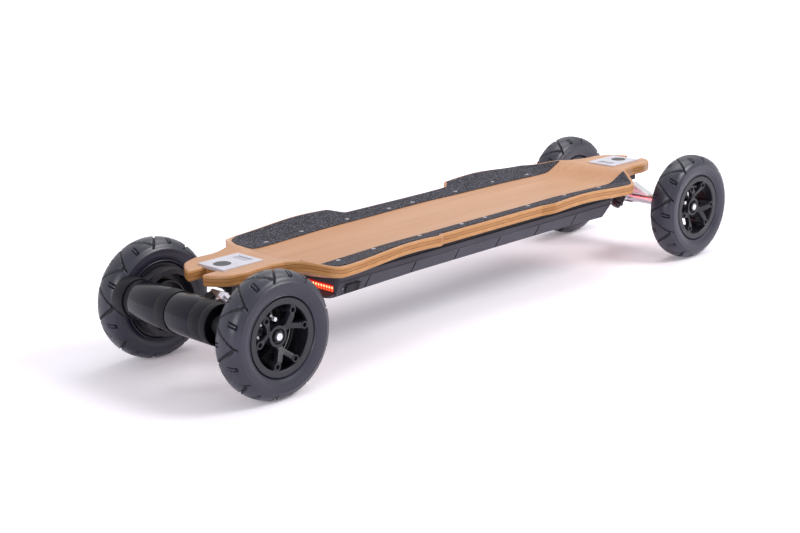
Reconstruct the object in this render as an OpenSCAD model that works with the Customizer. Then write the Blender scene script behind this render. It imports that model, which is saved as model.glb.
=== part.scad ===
// Electric mountainboard: a cambered bamboo deck on two double-kingpin trucks,
// four air tyres, two belt-driven hub gears and a battery case under the deck.
// Millimetres. +X points to the nose, +Y to the left, +Z up. The origin is on the
// floor, half way between the axles.

/* [Wheels] */
// Distance between the front and rear axles
wheelbase = 926.4; // [860:0.2:1000]
// Distance between the left and right tyres' middle planes
track = 262.6; // [250:0.2:290]
// Outer radius of a tyre
tyre_r = 87.5; // [84:0.5:95]
// Width of a tyre
tyre_w = 47; // [42:0.5:54]
// Outer radius of the rim flanges
rim_r = 53.3; // [51:0.1:56]
// Width of the two rim halves together
rim_w = 38.4; // [34:0.2:42]
// Outer radius of the rim's hub
hub_r = 14.5; // [13:0.5:18]
// Radius of the circle of rim screws
rim_screw_circle = 38.85; // [36:0.05:42]
// Half angle between the two arms of a Y spoke
spoke_spread = 24; // [18:0.5:28]
// Outer radius of a wheel bearing
bearing_r = 11; // [10:0.5:12]
// Width of a wheel bearing
bearing_w = 6; // [5:0.5:8]
// Radius of the axle where the bearings sit
axle_r = 5; // [4:0.5:6]

/* [Deck] */
// How far the nose and the tail reach past the middles of the top plates
deck_reach = 63; // [57:0.5:80]
// Thickness of the deck
deck_t = 16.5; // [12:0.5:18]
// Height of the deck's top at its middle
deck_z = 140.5; // [138:0.5:150]
// How far the deck's ends stand above its middle
deck_rise = 13.2; // [6:0.1:16]
// How far the deck dips in front of each rise
deck_dip = 3.5; // [0:0.5:5]
// How far the edge line of the waist stands above the middle
waist_lift = 12.1; // [6:0.1:20]
// How much higher the edge line of the foot wings stands
wing_lift = 3.7; // [0:0.1:8]
// Width across the rear foot wings
rear_wing_w = 249; // [225:1:260]
// Width across the front foot wings
front_wing_w = 244; // [225:1:255]
// Distance of the rear wings' corners in front of the rear plate's middle
rear_wing_in = 89; // [84:1:94]
// Distance of the front wings' corners behind the front plate's middle
front_wing_in = 95; // [92:1:102]
// Radius of the wings' outer corners
wing_round = 38; // [20:1:42]
// Width of the waist between the wings
waist_w = 210; // [196:1:216]
// Width of the neck beside the top plates
neck_w = 106; // [90:1:120]
// Width of the tail across its two prongs
tail_w = 114; // [100:1:124]
// Width of the nose across its two prongs
nose_w = 104; // [96:1:120]
// Depth of the notch in the nose and the tail
notch_d = 33; // [20:1:40]
// Width of the notch
notch_w = 29; // [12:1:34]
// Width of the bare bamboo stripe between the grip tapes
stripe_w = 137; // [110:1:160]
// Bare wood left outside the grip tapes
bead_w = 5; // [3:0.5:10]
// Thickness of the grip tape
grip_t = 1; // [0.6:0.1:2]

/* [Top plates] */
// Length of a top plate
plate_len = 70; // [60:1:80]
// Width of a top plate
plate_w = 56; // [50:1:70]
// Thickness of a top plate
plate_t = 4.5; // [3:0.5:7]
// Distance of a plate's middle in from the axle
plate_in = 39.2; // [34:0.2:44]
// Radius of the badge disc
badge_r = 12.5; // [8:0.5:16]

/* [Battery case] */
// Length of the case at its upper rim
case_len = 615; // [560:1:640]
// Width of the case at its upper rim
case_w = 180; // [168:1:190]
// Height of the case's underside above the floor, in its flat middle
case_z = 96.5; // [90:0.5:100]
// How much lower the underside lies at both ends
case_dip = 3.5; // [0:0.5:5]
// Height of the case in its middle
case_h = 23; // [20:0.5:26]
// Height of the ledge on the case's sides above its underside
ledge_h = 18; // [12:0.5:20]
// Wall thickness of the case
case_wall = 2.5; // [2:0.1:3]
// Distance between the seams on the case's sides
seam_pitch = 92; // [80:0.5:96]
// Length of the cover over the charge port
cover_len = 24; // [22:0.5:26]
// Radius of the power button
button_r = 2.4; // [2:0.1:3]
// Radius of a battery cell
cell_r = 9; // [8:0.5:10]
// Length of a battery cell
cell_len = 65; // [60:1:70]

/* [Trucks] */
// Angle of the kingpins above level
kingpin_tilt = 50; // [46:1:54]
// Distance between the two kingpins of a truck
kingpin_gap = 36; // [34:0.5:40]
// Radius of a kingpin
kingpin_r = 5; // [4:0.25:6]
// Radius of a truck bushing
bushing_r = 10.5; // [9:0.5:12]
// Radius of the hanger's arms
arm_r = 9.5; // [8:0.25:11]
// Thickness of the rubber riser pads
riser_t = 4.4; // [3:0.1:6]
// Thickness of a truck base plate
base_t = 10; // [8:0.5:12]
// Width of a truck base plate
base_w = 60; // [54:1:70]
// Length of a truck base plate
base_len = 62; // [58:1:66]

/* [Drive] */
// Distance of the motors behind the rear axle
motor_back = 58; // [56:0.5:62]
// Height of the motors above the rear axle
motor_up = 20; // [18:0.5:26]
// Radius of a motor can
motor_r = 28.7; // [27:0.1:30]
// Half width of the clamp between the motors
clamp_half = 11; // [8:0.5:14]
// Inner end to outer end of the left motor can
left_can = 60; // [50:1:62]
// Inner end to outer end of the right motor can
right_can = 50; // [46:1:54]
// Teeth on a wheel gear
wheel_teeth = 60; // [56:1:61]
// Teeth on a motor pinion
motor_teeth = 14; // [12:1:15]
// Belt tooth pitch
belt_pitch = 5; // [4.8:0.05:5]
// Width of a belt
belt_w = 13; // [10:0.5:14]
// Thickness of a belt over the tooth tips
belt_t = 1.8; // [1.2:0.1:2]
// Distance of a belt's middle from the middle of the board
belt_y = 99; // [97:0.5:100]

/* [Fit] */
// Gap between parts that don't touch but lie on each other
seat_gap = 0.1; // [0.05:0.05:0.3]
// Gap between a bent sheet and what it is glued to
skin_gap = 0.25; // [0.15:0.05:0.4]
// Radial gap of a shaft in its bore
run_gap = 0.05; // [0.02:0.01:0.1]
// Gap between curved parts that move past each other
free_gap = 0.3; // [0.3:0.1:0.6]

/* [Hidden] */
$fn = 64;

axle_x = wheelbase / 2;
plate_x = axle_x - plate_in;
half_len = plate_x + deck_reach;
rear_wing_x = plate_x - rear_wing_in;
front_wing_x = plate_x - front_wing_in;
half_track = track / 2;
eps = 0.01;

// Colours as the photograph shows them
bamboo = [0.82, 0.64, 0.45];
black = [0.13, 0.13, 0.15];
rubber = [0.2, 0.2, 0.23];
satin = [0.8, 0.8, 0.83];
steel = [0.7, 0.7, 0.72];
lamp_red = [0.95, 0.25, 0.15];

// Round bars and rings along Y, from y0 to y1
module bar_y(r, y0, y1) {
    translate([0, y0, 0]) rotate([-90, 0, 0]) cylinder(r = r, h = y1 - y0);
}
module ring_y(r_out, r_in, y0, y1) {
    translate([0, y0, 0]) rotate([-90, 0, 0]) difference() {
        cylinder(r = r_out, h = y1 - y0);
        translate([0, 0, -1]) cylinder(r = r_in, h = y1 - y0 + 2);
    }
}
module ring_z(r_out, r_in, z0, z1) {
    translate([0, 0, z0]) difference() {
        cylinder(r = r_out, h = z1 - z0);
        translate([0, 0, -1]) cylinder(r = r_in, h = z1 - z0 + 2);
    }
}
module hex_z(r_in, z0, z1, across) {
    translate([0, 0, z0]) difference() {
        cylinder(r = across / sqrt(3), h = z1 - z0, $fn = 6);
        translate([0, 0, -1]) cylinder(r = r_in, h = z1 - z0 + 2);
    }
}
// A shape drawn in the XZ plane, made y0 to y1 thick
module extrude_y(y0, y1) {
    translate([0, y1, 0]) rotate([90, 0, 0]) linear_extrude(y1 - y0) children();
}
// Both sides of the board, or both ends of it
module both_sides() { children(); mirror([0, 1, 0]) children(); }
module both_ends() { children(); mirror([1, 0, 0]) children(); }

// An outline whose corner points [x, y, r] are rounded by radius r
arc_step = 9;
function unit(v) = v / norm(v);
function corner_arc(a, p, b, r) =
    let (u = unit(a - p), v = unit(b - p), half = acos(max(-1, min(1, u * v))) / 2,
        q = p + u * (r / tan(half)), s = p + v * (r / tan(half)),
        c = p + unit(u + v) * (r / sin(half)),
        a0 = atan2(q.y - c.y, q.x - c.x), a1 = atan2(s.y - c.y, s.x - c.x),
        d = a1 - a0 > 180 ? a1 - a0 - 360 : a1 - a0 < -180 ? a1 - a0 + 360 : a1 - a0,
        n = max(1, ceil(abs(d) / arc_step)))
    [for (i = [0:n]) c + r * [cos(a0 + d * i / n), sin(a0 + d * i / n)]];
function flat(p) = [p[0], p[1]];
function rounded(pts) = let (n = len(pts)) [for (i = [0:n - 1])
    each pts[i][2] > 0
        ? corner_arc(flat(pts[(i + n - 1) % n]), flat(pts[i]), flat(pts[(i + 1) % n]), pts[i][2])
        : [flat(pts[i])]];
function mirrored(pts) = [for (i = [len(pts) - 1:-1:0]) [pts[i][0], -pts[i][1], pts[i][2]]];

// DECK
// Height of the deck's top: a long dip between the trucks, a short rise to each
// end, and edges that lift away from the middle like a shallow bowl
edge_y = 120;
rise_start = plate_x - 106;
rise_end = plate_x - 50;
deck_end_z = deck_z + deck_rise;
middle_line = [[0, deck_z], [rise_start, deck_z - deck_dip], [rise_end, deck_end_z],
    [half_len, deck_end_z - 1]];
waist_edge_z = deck_z + waist_lift;
edge_line = [[0, waist_edge_z], [90, waist_edge_z + 0.3], [190, waist_edge_z + wing_lift],
    [rise_start + 8, waist_edge_z - deck_dip + 0.2], [rise_end + 4, deck_end_z + 14],
    [half_len, deck_end_z + 8]];
bowl = 2.15;
function ease(t) = (1 - cos(180 * t)) / 2;
function along(x, k, i = 0) = i >= len(k) - 1 ? k[len(k) - 1].y
    : x < k[i + 1].x ? k[i].y + (k[i + 1].y - k[i].y) * ease((x - k[i].x) / (k[i + 1].x - k[i].x))
    : along(x, k, i + 1);
function deck_top(x, y) = let (m = along(abs(x), middle_line), e = along(abs(x), edge_line))
    m + (e - m) * pow(abs(y) / edge_y, bowl);
function deck_under(x, y) = deck_top(x, y) - deck_t;

// Stations along the deck, closer together where it rises
rise_stations = [for (i = [0:9]) rise_start - 14 + i * 9.5];
half_stations = concat([for (x = [25:50:275]) x], rise_stations,
    [for (i = [1:4]) rise_end + 15.5 + i * (half_len + 4 - rise_end - 15.5) / 4]);
xs = concat([for (i = [len(half_stations) - 1:-1:0]) -half_stations[i]], half_stations);
ys = [for (y = [-132:33:132]) y];
// A slab between two heights given as functions of x and y
module slab(low, high) {
    nx = len(xs);
    ny = len(ys);
    pts = [for (k = [0, 1]) for (x = xs) for (y = ys) [x, y, k == 0 ? low(x, y) : high(x, y)]];
    function at(k, i, j) = k * nx * ny + i * ny + j;
    faces = concat(
        [for (i = [0:nx - 2]) for (j = [0:ny - 2]) each [
            [at(1, i, j), at(1, i, j + 1), at(1, i + 1, j + 1)],
            [at(1, i, j), at(1, i + 1, j + 1), at(1, i + 1, j)],
            [at(0, i, j), at(0, i + 1, j + 1), at(0, i, j + 1)],
            [at(0, i, j), at(0, i + 1, j), at(0, i + 1, j + 1)]]],
        [for (i = [0:nx - 2]) each [
            [at(0, i, 0), at(1, i, 0), at(1, i + 1, 0)],
            [at(0, i, 0), at(1, i + 1, 0), at(0, i + 1, 0)],
            [at(0, i, ny - 1), at(1, i + 1, ny - 1), at(1, i, ny - 1)],
            [at(0, i, ny - 1), at(0, i + 1, ny - 1), at(1, i + 1, ny - 1)]]],
        [for (j = [0:ny - 2]) each [
            [at(0, 0, j + 1), at(1, 0, j + 1), at(1, 0, j)],
            [at(0, 0, j + 1), at(1, 0, j), at(0, 0, j)],
            [at(0, nx - 1, j), at(1, nx - 1, j), at(1, nx - 1, j + 1)],
            [at(0, nx - 1, j), at(1, nx - 1, j + 1), at(0, nx - 1, j + 1)]]]);
    polyhedron(points = pts, faces = faces, convexity = 6);
}

// Half outline of one end, from the notch to the corner of its foot wing. The wing
// ends in a slanted edge that runs in to the neck.
wing_slope = 1.3;
wing_run = 46;
function end_points(end_w, wing_w, wing_x) = [
    [half_len - notch_d, notch_w / 2, 3], [half_len, notch_w / 2, 3], [half_len - 7, notch_w / 2 + 17, 18],
    [half_len - 20, end_w / 2 - 7.5, 20], [half_len - 44, end_w / 2 + 0.7, 28],
    [plate_x - 16, neck_w / 2, 60], [wing_x + wing_run, wing_w / 2 - 1 - wing_run * wing_slope, 12],
    [wing_x, wing_w / 2 - 1, wing_round]];
function backwards(pts) = [for (i = [len(pts) - 1:-1:0]) pts[i]];
function other_end(pts) = [for (p = pts) [-p[0], p[1], p[2]]];
half_outline = concat(
    other_end(end_points(tail_w, rear_wing_w, rear_wing_x)), [
    [-300, rear_wing_w / 2, 40], [-134, rear_wing_w / 2, 12], [-114, waist_w / 2 + 0.5, 8],
    [-40, waist_w / 2, 90], [60, waist_w / 2 - 0.5, 90], [109, waist_w / 2 + 0.8, 3],
    [126, front_wing_w / 2 - 1, 6], [200, front_wing_w / 2, 80], [280, front_wing_w / 2 - 0.7, 80]],
    backwards(end_points(nose_w, front_wing_w, front_wing_x)));
deck_outline = rounded(concat(half_outline, mirrored(half_outline)));

// Half outline of one grip tape: a bead of bare wood is left outside it, and its
// inner edge follows the bare stripe to a point beside each neck
tape_round = wing_round - bead_w;
tape_tip = 34;
half_grip = [[-rear_wing_x - tape_tip + 10, stripe_w / 2, 1],
    [-rear_wing_x + bead_w, rear_wing_w / 2 - 1 - bead_w, tape_round],
    [-300, rear_wing_w / 2 - bead_w, 40], [-136, rear_wing_w / 2 - bead_w, 10],
    [-116, waist_w / 2 + 0.5 - bead_w, 9], [-40, waist_w / 2 - bead_w, 90],
    [60, waist_w / 2 - 0.5 - bead_w, 90], [111, waist_w / 2 + 0.8 - bead_w, 3],
    [128, front_wing_w / 2 - 1 - bead_w, 5], [200, front_wing_w / 2 - bead_w, 80],
    [280, front_wing_w / 2 - 0.7 - bead_w, 80],
    [front_wing_x - bead_w / 2, front_wing_w / 2 - 1 - bead_w, tape_round],
    [front_wing_x + tape_tip, stripe_w / 2, 1], [250, stripe_w / 2 - 0.5, 100],
    [180, stripe_w / 2 - 1.5, 200], [30, stripe_w / 2 + 2.3, 200], [-180, stripe_w / 2, 200],
    [-290, stripe_w / 2 - 1, 100]];

// Screws that hold the case from above, through the grip tape
screw_xs = [-case_len / 2 + 11.5, -227, -134, -44, 8, 108, 198, case_len / 2 - 21.5];
screw_y = case_w / 2 - 12;
screw_r = 2;
screw_head_r = 3.2;
screw_head_t = 1.6;
module at_screws() {
    for (x = screw_xs) both_sides() translate([x, screw_y, 0]) children();
}
function screw_top(x) = deck_top(x, screw_y) + grip_t + skin_gap + 0.4;

plate_sink = 2.7;
plate_seat_z = deck_end_z - plate_sink;
plate_top_z = plate_seat_z + seat_gap + plate_t;
riser_seat_z = deck_end_z - deck_t + 0.7;
bolt_xs = [plate_x - 27, plate_x + 15];
bolt_y = base_w / 2 - 7;
bolt_r = 2.4;
module at_bolts() {
    for (x = bolt_xs) both_sides() translate([x, bolt_y, 0]) children();
}

module deck() {
    color(bamboo) difference() {
        intersection() {
            slab(function(x, y) deck_under(x, y), function(x, y) deck_top(x, y));
            translate([0, 0, deck_z - deck_dip - deck_t - 20]) linear_extrude(90) polygon(deck_outline);
        }
        // seats of the top plates and of the riser pads
        both_ends() translate([plate_x - plate_len / 2 - 0.5, -plate_w / 2 - 0.5, plate_seat_z])
            cube([plate_len + 1, plate_w + 1, 20]);
        both_ends() translate([plate_x - 39, -base_w / 2 - 0.5, riser_seat_z - 20])
            cube([base_len + 2, base_w + 1, 20]);
        both_ends() at_bolts() cylinder(r = bolt_r + 0.2, h = 400);
        at_screws() cylinder(r = screw_r + 0.2, h = 400);
        for (x = screw_xs) both_sides() translate([x, screw_y, screw_top(x) - screw_head_t - seat_gap])
            cylinder(r = screw_head_r + 0.3, h = 20);
    }
}

module grip_tape() {
    color(black) difference() {
        intersection() {
            slab(function(x, y) deck_top(x, y) + skin_gap,
                function(x, y) deck_top(x, y) + skin_gap + grip_t);
            translate([0, 0, deck_z - deck_dip - 20]) linear_extrude(90) both_sides()
                polygon(rounded(half_grip));
        }
        at_screws() cylinder(r = screw_head_r + 0.3, h = 400);
    }
}

module deck_screws() {
    color(steel) for (x = screw_xs) both_sides() translate([x, screw_y, 0]) difference() {
        union() {
            translate([0, 0, screw_top(x) - screw_head_t]) cylinder(r = screw_head_r, h = screw_head_t);
            translate([0, 0, case_z + 8]) cylinder(r = screw_r, h = screw_top(x) - case_z - 9);
        }
        translate([0, 0, screw_top(x) - 0.8]) cylinder(r = 1.3, h = 2, $fn = 6);
    }
}

// TOP PLATES
pocket_len = 13;
pocket_w = 30;
module top_plate() {
    difference() {
        translate([plate_x - plate_len / 2, -plate_w / 2, plate_seat_z + seat_gap])
            cube([plate_len, plate_w, plate_t]);
        // the badge's round seat and the shallow pocket near the inner end
        translate([plate_x + 15, 0, plate_top_z - 0.8]) cylinder(r = badge_r + seat_gap, h = 2);
        translate([plate_x - plate_len / 2 + 8, -pocket_w / 2, plate_top_z - 0.8])
            cube([pocket_len, pocket_w, 2]);
        at_bolts() translate([0, 0, plate_seat_z - 1]) cylinder(r = bolt_r, h = plate_t - 0.2);
    }
}
module top_plates() { color(satin) both_ends() top_plate(); }
module plate_badges() {
    color([0.4, 0.4, 0.45]) both_ends() translate([plate_x + 15, 0, plate_top_z - 0.8 + seat_gap])
        cylinder(r = badge_r, h = 0.8);
}

// BATTERY CASE
// Its sides lean in below a narrow ledge, its front end slopes in, and its underside
// is flat in the middle and drops a little towards both ends
case_top = case_z + case_h;
case_low = case_z - case_dip;
case_flat = 150;
case_bevel = 9;
ledge_w = 1;
side_lift = 3;
rim_y = case_w / 2 - 18.5;
front_slope = 16;
case_round = 8;
// Height of the case's underside at x
function case_under(x) = case_z - case_dip
    * min(1, max(0, (abs(x) - case_flat) / (case_len / 2 - front_slope - case_flat)));
// The case's outside, drawn in by a wall thickness
module case_body(inset, low, high) {
    half_l = case_len / 2 - inset;
    half_w = case_w / 2 - inset;
    side = [[half_w - case_bevel, case_low + low], [half_w, case_z + ledge_h],
        [half_w - ledge_w, case_z + ledge_h + 0.6], [half_w - ledge_w, high + side_lift], [rim_y, high]];
    intersection() {
        rotate([90, 0, 90]) translate([0, 0, -half_l]) linear_extrude(2 * half_l)
            polygon(concat(side, [for (i = [4:-1:0]) [-side[i].x, side[i].y]]));
        extrude_y(-half_w, half_w) polygon([
            [-half_l, case_low + low], [-case_flat, case_z + low], [case_flat, case_z + low],
            [half_l - front_slope, case_low + low], [half_l, high + side_lift], [-half_l, high + side_lift]]);
        translate([0, 0, case_low - 5]) linear_extrude(case_h + 30) polygon(rounded([
            [-half_l, -half_w, case_round], [half_l, -half_w, 3], [half_l, half_w, 3], [-half_l, half_w, case_round]]));
    }
}
// The lip that juts out below the rear lamps
lip_reach = 12;
lip_y = case_w / 2 - case_bevel;
module rear_lip() {
    intersection() {
        extrude_y(-lip_y, lip_y) polygon([[-case_len / 2 + 4, case_z + 2], [-case_len / 2, case_z + 2],
            [-case_len / 2 - lip_reach, case_low + 1.5], [-case_len / 2 - lip_reach, case_low],
            [-case_len / 2 + 4, case_low]]);
        translate([0, 0, case_low - 5]) linear_extrude(30) polygon(rounded([
            [-case_len / 2 - lip_reach, -lip_y, 10], [0, -lip_y, 0], [0, lip_y, 0],
            [-case_len / 2 - lip_reach, lip_y, 10]]));
    }
}
lamp_low = case_z + 2.5;
lamp_high = case_z + 14;
lamp_in = 26;
lamp_out = 78;
// The two lamp windows of one end: end is 1 for the front, -1 for the rear
module lamp_windows(end, grow) {
    both_sides() translate([end > 0 ? case_len / 2 - 24 : -case_len / 2 - 2, lamp_in - grow, lamp_low - grow])
        cube([26, lamp_out - lamp_in + 2 * grow, lamp_high - lamp_low + 2 * grow]);
}
boss_r = 4.6;
port_x = -case_len / 2 + 28.5;
button_x = -case_len / 2 + 11;
// Places a child on the left lower side face, with its Z axis along the outward
// normal and its Y axis down the face
side_angle = atan(case_bevel / (ledge_h + case_dip));
side_mid = [case_w / 2 - case_bevel / 2, case_z + (ledge_h - case_dip) / 2];
module on_left(x) {
    translate([x, side_mid.x, side_mid.y]) rotate([-90 - side_angle, 0, 0]) children();
}
module on_right(x) { mirror([0, 1, 0]) on_left(x) children(); }
port_r = 5.5;
cover_w = 14;
gland_y = 12;
gland_r = 4;
gland_z = case_z + 9;
seam_lean = 15;
module case_shell() {
    color(black) difference() {
        union() {
            difference() {
                case_body(0, 0, case_top);
                case_body(case_wall, case_wall, case_top + 5);
            }
            // inward rim that the gasket lies on
            intersection() {
                case_body(0.5, 0, case_top);
                difference() {
                    translate([-case_len / 2, -case_w / 2, case_top - 2.5]) cube([case_len, case_w, 10]);
                    translate([-case_len / 2 + 9, -rim_y, 0]) cube([case_len - 18, 2 * rim_y, 200]);
                }
            }
            rear_lip();
            // screw bosses that run down to the floor of the case
            for (x = screw_xs) both_sides() translate([x, screw_y, case_under(x) + case_wall / 2])
                cylinder(r = boss_r, h = case_top - 1 - case_under(x) - case_wall / 2);
        }
        at_screws() translate([0, 0, case_z + 7]) cylinder(r = screw_r + run_gap, h = 100);
        lamp_windows(1, seat_gap);
        lamp_windows(-1, seat_gap);
        // slanted seams on the lower side faces
        for (i = [-3:2]) both_sides() on_left(27 + i * seam_pitch) rotate([0, 0, seam_lean])
            translate([-0.8, -10.5, -1.3]) cube([1.6, 40, 5]);
        on_right(port_x) translate([0, 0, -12]) cylinder(r = port_r + 1.5 + seat_gap, h = 30);
        on_right(button_x) translate([0, 0, -5]) cylinder(r = button_r + 0.2, h = 20);
        // cable gland holes in the rear wall
        both_sides() translate([-case_len / 2 - 5, gland_y, gland_z]) rotate([0, 90, 0])
            cylinder(r = gland_r + seat_gap, h = 30);
    }
}
module lamp(end) {
    color(lamp_red) intersection() {
        difference() {
            case_body(0, 0, case_top);
            case_body(case_wall - 0.2, 1, case_top + 5);
        }
        lamp_windows(end, 0);
    }
}
module front_light() { lamp(1); }
module rear_light() { lamp(-1); }

gasket_in = 3;
module case_gasket() {
    color(rubber) difference() {
        intersection() {
            slab(function(x, y) case_top - 2, function(x, y) deck_under(x, y) - skin_gap);
            difference() {
                translate([-case_len / 2 + gasket_in, -case_w / 2 + gasket_in, 0])
                    cube([case_len - 2 * gasket_in, case_w - 2 * gasket_in, 200]);
                translate([-case_len / 2 + 9.5, -rim_y, -1]) cube([case_len - 19, 2 * rim_y, 202]);
            }
        }
        // it lies on the rim, which rises towards the sides
        rotate([90, 0, 90]) translate([0, 0, -case_len]) linear_extrude(2 * case_len) polygon([
            [-case_w / 2, 0], [case_w / 2, 0], [case_w / 2, case_top + side_lift + seat_gap],
            [case_w / 2 - ledge_w, case_top + side_lift + seat_gap], [rim_y, case_top + seat_gap],
            [-rim_y, case_top + seat_gap], [-case_w / 2 + ledge_w, case_top + side_lift + seat_gap],
            [-case_w / 2, case_top + side_lift + seat_gap]]);
        at_screws() cylinder(r = screw_r + 0.3, h = 200);
    }
}

cell_pitch = 2 * cell_r + 0.6;
cell_rows = 20;
cell_start = -case_len / 2 + 195.5;
module battery_cells() {
    color([0.25, 0.45, 0.35]) for (i = [0:cell_rows - 1]) both_sides()
        translate([cell_start + i * cell_pitch, 0, case_z + case_wall + seat_gap + cell_r])
            bar_y(cell_r, 1, 1 + cell_len);
}
controller_len = 96;
controller_w = 118;
controller_x = -case_len / 2 + 77.5;
module motor_controller() {
    color(steel) difference() {
        translate([controller_x, -controller_w / 2 - 4, case_z + case_wall + seat_gap])
            cube([controller_len, controller_w, 15]);
        for (i = [0:10]) translate([controller_x + 5 + i * 8, -controller_w, case_z + case_wall + 9])
            cube([5, 2 * controller_w, 20]);
    }
}
module cable_glands() {
    color(black) both_sides() translate([-case_len / 2, gland_y, gland_z]) rotate([0, 90, 0]) difference() {
        union() {
            translate([0, 0, -7]) cylinder(r = gland_r + 2, h = 7 - seat_gap);
            translate([0, 0, -6]) cylinder(r = gland_r, h = 18);
        }
        translate([0, 0, -20]) cylinder(r = gland_r - 1.5, h = 60);
    }
}
cover_low = 1.6;
cover_t = 2;
module charge_port() {
    color([0.3, 0.3, 0.32]) on_right(port_x) {
        difference() {
            union() {
                translate([0, 0, -11]) cylinder(r = port_r + 1.5, h = 11.5);
                translate([-cover_len / 2 + 1, -cover_w / 2 + 0.5, seat_gap])
                    cube([cover_len - 2, cover_w - 1, cover_low - 0.3 - seat_gap]);
            }
            translate([0, 0, -9]) cylinder(r = port_r, h = 20);
        }
        translate([0, 0, -9.5]) cylinder(r = 1, h = 7);
    }
}
// Rubber cover over the charge port: a ribbed flap with a round hinge roll along
// its rear edge
roll_r = 1.3;
roll_x = -cover_len / 2 - 0.8;
roll_z = cover_low + cover_t / 2;
module port_cap() {
    color(rubber) on_right(port_x) difference() {
        union() {
            translate([roll_x, -cover_w / 2, roll_z]) rotate([-90, 0, 0]) cylinder(r = roll_r, h = cover_w);
            translate([roll_x, -cover_w / 2, cover_low]) cube([cover_len / 2 - roll_x, cover_w, cover_t]);
        }
        // finger ribs at the free end
        for (i = [0:2]) translate([cover_len / 2 - 3 - 2.2 * i, -cover_w, cover_low + cover_t - 0.6])
            cube([1, 2 * cover_w, 3]);
    }
}
module power_button() {
    color(black) on_right(button_x) translate([0, 0, -3]) cylinder(r = button_r + 0.2 - free_gap, h = 3.9);
}

// TRUCKS
// Each truck is drawn at the front and mirrored for the rear. A stack on a kingpin
// is drawn along Z and then leaned by the kingpin's tilt.
base_pin = [plate_x - 7, plate_seat_z - 38.5];
pin_dir = [cos(kingpin_tilt), sin(kingpin_tilt)];
pin_side = [sin(kingpin_tilt), -cos(kingpin_tilt)];
link_rise = 8;
link_pin = base_pin + kingpin_gap * pin_side + link_rise * pin_dir;
module on_pin(p) {
    translate([p.x, 0, p.y]) rotate([0, 90 - kingpin_tilt, 0]) children();
}
base_top = riser_seat_z - seat_gap - riser_t - seat_gap;
base_bottom = base_top - base_t;
stud_low = -31;
nut_h = 6;
nut_across = 15;
washer_r = bushing_r + 1;
washer_t = 2;
ring_h = 10;
bush_h = 10;
pin_bore = kingpin_r + run_gap;
base_boss_r = 13;
base_boss_s = ring_h + 2;
base_start = plate_x - 38;

module bushing(z0, z1) {
    ring_z(bushing_r, kingpin_r + 0.3, z0, z1);
}

module truck_base() {
    difference() {
        union() {
            translate([base_start, -base_w / 2, base_bottom]) cube([base_len, base_w, base_t]);
            intersection() {
                on_pin(base_pin) translate([0, 0, base_boss_s]) cylinder(r = base_boss_r, h = 40);
                translate([base_start - 40, -base_w, 0]) cube([base_len + 80, 2 * base_w, base_bottom + 1]);
            }
        }
        on_pin(base_pin) translate([0, 0, -20]) cylinder(r = pin_bore, h = 44);
        // room for the upper bushing where it leans into the plate
        on_pin(base_pin) translate([0, 0, -20]) cylinder(r = bushing_r + 0.5, h = 20 + base_boss_s);
        at_bolts() translate([0, 0, 1]) cylinder(r = bolt_r + 0.2, h = 300);
    }
}
module truck_bases() { color(black) both_ends() truck_base(); }
module riser_pads() {
    color(rubber) both_ends() difference() {
        translate([base_start, -base_w / 2, base_top + seat_gap]) cube([base_len, base_w, riser_t]);
        at_bolts() translate([0, 0, 1]) cylinder(r = bolt_r + 0.4, h = 300);
    }
}
module truck_bolts() {
    color(steel) both_ends() at_bolts() difference() {
        union() {
            translate([0, 0, base_bottom - seat_gap - 4]) cylinder(r = 4.2, h = 4);
            translate([0, 0, base_bottom - 2]) cylinder(r = bolt_r - run_gap, h = plate_seat_z + 2.5 - base_bottom);
        }
        translate([0, 0, base_bottom - 5]) cylinder(r = 2, h = 3.5, $fn = 6);
    }
}
module base_kingpins() {
    color(black) both_ends() on_pin(base_pin) {
        translate([0, 0, stud_low]) cylinder(r = kingpin_r, h = 22.8 - stud_low);
        hex_z(kingpin_r + run_gap, stud_low + 1, stud_low + 1 + nut_h, nut_across);
        ring_z(washer_r, kingpin_r + run_gap, stud_low + 1.1 + nut_h, stud_low + 1.1 + nut_h + washer_t);
    }
}
module base_bushings() {
    color(rubber) both_ends() on_pin(base_pin) {
        bushing(stud_low + 1.2 + nut_h + washer_t, -ring_h - seat_gap);
        bushing(seat_gap, base_boss_s - seat_gap);
    }
}
// The link turns on the base kingpin and carries the second kingpin
link_w = 20;
link_ring = [link_rise + 12, link_rise + 21];
module pivot_link() {
    g = kingpin_gap;
    difference() {
        union() {
            on_pin(base_pin) ring_z(14, pin_bore, -ring_h, 0);
            on_pin(base_pin) translate([g, 0, 0]) ring_z(13, pin_bore, link_ring[0], link_ring[1]);
            on_pin(base_pin) intersection() {
                rotate([90, 0, 0]) translate([0, 0, -link_w / 2]) linear_extrude(link_w) polygon([
                    [8, -ring_h], [g - 18, -ring_h], [g - 14.5, 6], [g - 14.2, link_ring[0]],
                    [g, link_ring[0]], [g, link_ring[1]], [g - 15, link_ring[1]],
                    [g - 20.2, link_ring[0] - 1], [g - 20.2, 6], [g - 24.5, 0], [8, 0]]);
                translate([0, -20, -40]) cube([60, 40, 90]);
            }
        }
        on_pin(base_pin) translate([0, 0, -40]) cylinder(r = pin_bore, h = 100);
        on_pin(link_pin) translate([0, 0, -40]) cylinder(r = pin_bore, h = 100);
    }
}
lower_washer = -ring_h - bush_h - 0.2;
module link_kingpin() {
    top = link_ring[1] - link_rise;
    on_pin(link_pin) {
        translate([0, 0, lower_washer - washer_t - nut_h - 1.5])
            cylinder(r = kingpin_r, h = top - lower_washer + washer_t + nut_h + 2);
        hex_z(0.01, top + seat_gap, top + seat_gap + 5, nut_across);
        hex_z(kingpin_r + run_gap, lower_washer - washer_t - nut_h - 0.2, lower_washer - washer_t - 0.2, nut_across);
        ring_z(washer_r, kingpin_r + run_gap, lower_washer - washer_t - 0.1, lower_washer - 0.1);
    }
}
hang_low = -ring_h + 2;
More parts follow.
